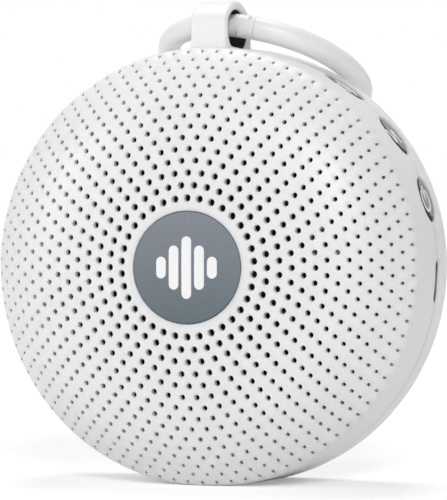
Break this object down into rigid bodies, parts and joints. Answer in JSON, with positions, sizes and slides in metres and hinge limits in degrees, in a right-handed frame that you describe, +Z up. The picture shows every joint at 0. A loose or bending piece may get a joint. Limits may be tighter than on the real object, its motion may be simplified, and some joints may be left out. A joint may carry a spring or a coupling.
{
  "type": "white noise sound machine",
  "caption": "Round portable white noise sound machine: domed perforated front, grey centre badge, rim keys and charging port, strap lug with a hinged carry ring.",
  "frame": {"origin": "on the standing flat at the foot of the rim, under the seam of the housing and under its axis", "axes": "+Z up from the standing flat to the strap lug; -Y out of the grille along the axis of the round housing, +Y out of its flat back; +X towards the keys and the port"},
  "size_m": [0.0948, 0.067, 0.1029],
  "materials": {
    "body_white": "fine satin moulded surface",
    "badge_grey": "slate grey, satin, fine radial sheen",
    "key_grey": "metallic grey paint, satin",
    "ring_white": "fine satin moulded surface",
    "cloth_dark": "open weave",
    "screw_steel": "zinc plated",
    "basket_black": "semi-matte",
    "rubber_black": "matte",
    "cone_paper": "coated paper pulp",
    "coil_copper": "enamelled wire",
    "magnet_iron": "sintered, with plated plates",
    "board_green": "solder mask",
    "chip_black": "moulded package",
    "switch_black": "matte",
    "port_steel": "nickel plated",
    "port_plastic": "matte",
    "battery_foil": "pouch foil",
    "pad_foam": "adhesive foam"
  },
  "bodies": {
    "housing": {"front_grille": "body_white", "rear_cover": "body_white", "badge": "badge_grey", "acoustic_cloth": "cloth_dark", "housing_screws": "screw_steel", "speaker_basket": "basket_black", "speaker_surround": "rubber_black", "speaker_cone": "cone_paper", "speaker_dust_cap": "cone_paper", "voice_coil": "coil_copper", "speaker_magnet": "magnet_iron", "speaker_screws": "screw_steel", "main_board": "board_green", "board_screws": "screw_steel", "circuit_chips": "chip_black", "push_switches": "switch_black", "port_shell": "port_steel", "port_tongue": "port_plastic", "battery_cell": "battery_foil", "battery_pad": "pad_foam", "strap_lug": "ring_white"},
    "ring": {"carry_ring": "ring_white", "ring_coupling": "ring_white", "coupling_pin": "ring_white"},
    "power_button": {"power_key": "key_grey", "power_plunger": "switch_black"},
    "sound_button": {"sound_key": "key_grey", "sound_plunger": "switch_black"},
    "volume_button": {"volume_key": "key_grey", "volume_plunger": "switch_black"}
  },
  "joints": [
    {"name": "ring_swing", "type": "hinge", "parent": "housing", "child": "ring", "pos_m": [0, -0.0022, 0.09778], "axis": [0.9729, -0.225, -0.0527], "range_deg": [0, 228]},
    {"name": "power_press", "type": "slide", "parent": "housing", "child": "power_button", "axis": [-0.9527, 0, -0.304], "range_m": [0, 0.0005], "stiffness_N_per_m": 3200},
    {"name": "sound_press", "type": "slide", "parent": "housing", "child": "sound_button", "axis": [-0.8049, 0, -0.5934], "range_m": [0, 0.0005], "stiffness_N_per_m": 3200},
    {"name": "volume_press", "type": "slide", "parent": "housing", "child": "volume_button", "axis": [-0.575, 0, -0.8181], "range_m": [0, 0.0005], "stiffness_N_per_m": 3200}
  ]
}
